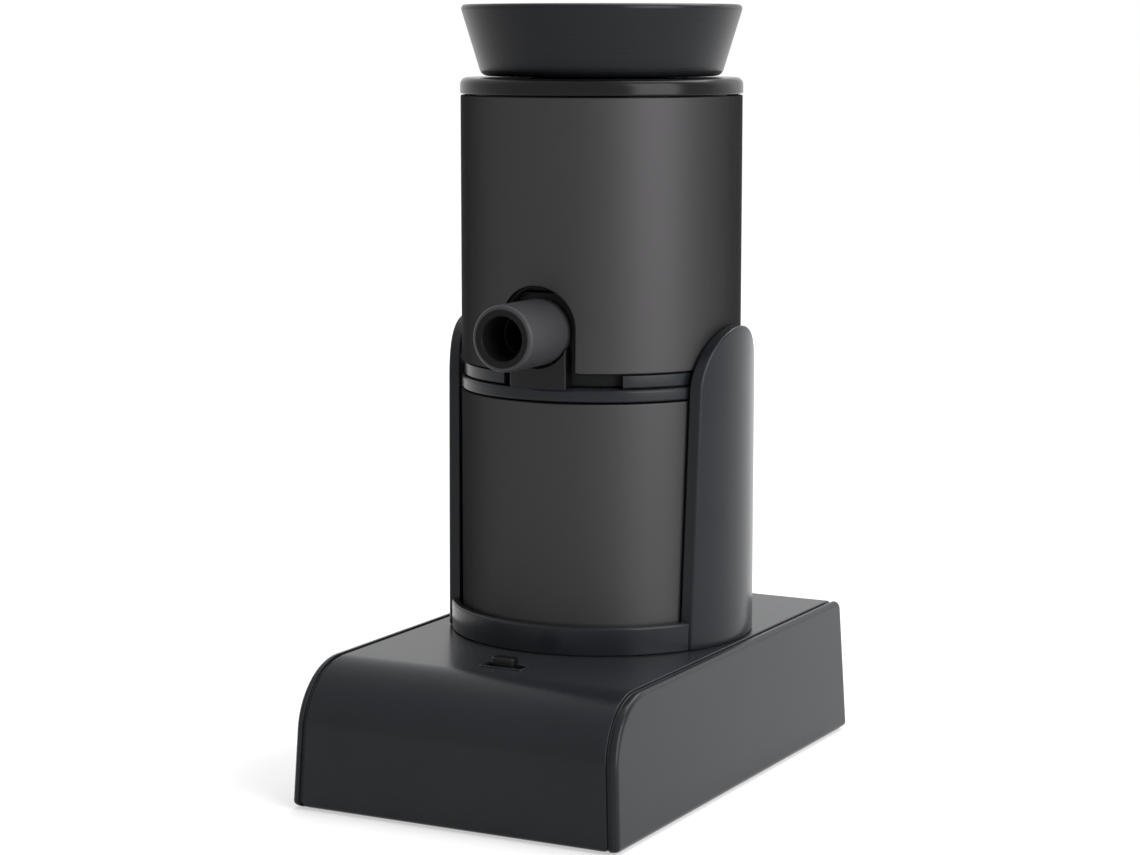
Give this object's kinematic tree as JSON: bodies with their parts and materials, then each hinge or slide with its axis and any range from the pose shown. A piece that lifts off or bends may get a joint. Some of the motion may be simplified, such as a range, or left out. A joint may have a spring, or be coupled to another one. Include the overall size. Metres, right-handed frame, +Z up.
{
  "type": "smoke infuser on its powered stand",
  "caption": "Battery smoke infuser: a round metal handset with flared burn bowl and hose nozzle, standing in a winged cradle on a rectangular switched stand.",
  "frame": {"origin": "on the table, under the middle of the stand", "axes": "+Z up; -Y towards the front with the switch and the nozzle; +X to the right seen from the front"},
  "size_m": [0.0752, 0.1162, 0.164],
  "materials": {
    "black_abs": "fine matt moulding texture",
    "gloss_black_abs": "polished moulding",
    "grey_anodised_aluminium": "dark grey anodised, satin",
    "black_rubber": "moulded matt",
    "black_coated_metal": "satin black coating",
    "steel": "plain",
    "brass": "plain",
    "ferrite": "sintered",
    "copper_winding": "enamelled copper",
    "cell_jacket": "plain shrink jacket",
    "red_lead": "insulated",
    "black_lead": "insulated"
  },
  "bodies": {
    "stand": {"stand_shell": "black_abs", "bottom_plate": "black_abs", "foot_front_left": "black_rubber", "foot_front_right": "black_rubber", "foot_rear_left": "black_rubber", "foot_rear_right": "black_rubber", "plate_screw_left": "steel", "plate_screw_right": "steel", "cradle": "black_abs", "contact_stud_centre": "brass", "contact_stud_outer": "brass", "battery_bay": "black_abs", "cell_1": "cell_jacket", "cell_2": "cell_jacket", "cell_3": "cell_jacket", "cell_4": "cell_jacket", "front_contact_positive": "steel", "front_bridge_1": "steel", "front_contact_negative": "steel", "front_spring_1": "steel", "front_spring_2": "steel", "door_hinge_pin": "steel", "switch_bezel": "gloss_black_abs", "switch_body": "black_abs", "lead_cells_to_switch": "red_lead", "lead_switch_to_stud": "red_lead", "lead_cells_to_stud": "black_lead"},
    "battery_door": {"battery_door": "black_abs", "door_bridge_1": "steel", "door_bridge_2": "steel", "door_spring_1": "steel", "door_spring_2": "steel"},
    "switch_knob": {"switch_knob": "gloss_black_abs"},
    "handset": {"lower_sleeve": "grey_anodised_aluminium", "lower_chassis": "black_abs", "handset_floor": "black_abs", "contact_leaf_centre": "brass", "contact_leaf_outer": "brass", "motor_can": "steel", "motor_magnet": "ferrite", "motor_bush": "brass", "motor_end_bell": "black_abs", "motor_screw_left": "steel", "motor_screw_right": "steel", "coupling_ring": "black_abs", "fan_housing": "black_abs", "fan_cover": "black_abs", "motor_lead_positive": "red_lead", "motor_lead_negative": "black_lead"},
    "fan_rotor": {"motor_armature": "copper_winding", "motor_shaft": "steel", "impeller": "black_abs"},
    "nozzle": {"nozzle": "black_rubber"},
    "barrel": {"barrel_sleeve": "grey_anodised_aluminium", "barrel_liner": "black_abs", "top_collar": "gloss_black_abs"},
    "bowl": {"burn_bowl": "black_coated_metal", "mesh_screen": "steel", "bowl_seal": "black_rubber"}
  },
  "joints": [
    {"name": "door_hinge", "type": "hinge", "parent": "stand", "child": "battery_door", "pos_m": [0, 0.05587, 0.0053], "axis": [-1, 0, 0], "range_deg": [0, 90]},
    {"name": "switch_slide", "type": "slide", "parent": "stand", "child": "switch_knob", "axis": [1, 0, 0], "range_m": [-0.0015, 0.0015]},
    {"name": "handset_lift", "type": "slide", "parent": "stand", "child": "handset", "axis": [0, 0, 1], "range_m": [0, 0.07]},
    {"name": "fan_spin", "type": "hinge", "parent": "handset", "child": "fan_rotor", "pos_m": [0, 0.0076, 0.09], "axis": [0, 0, 1], "continuous": true},
    {"name": "nozzle_pull", "type": "slide", "parent": "handset", "child": "nozzle", "axis": [0, -1, 0], "range_m": [0, 0.012]},
    {"name": "barrel_lift", "type": "slide", "parent": "handset", "child": "barrel", "axis": [0, 0, 1], "range_m": [0, 0.03]},
    {"name": "bowl_lift", "type": "slide", "parent": "barrel", "child": "bowl", "axis": [0, 0, 1], "range_m": [0, 0.015]}
  ]
}
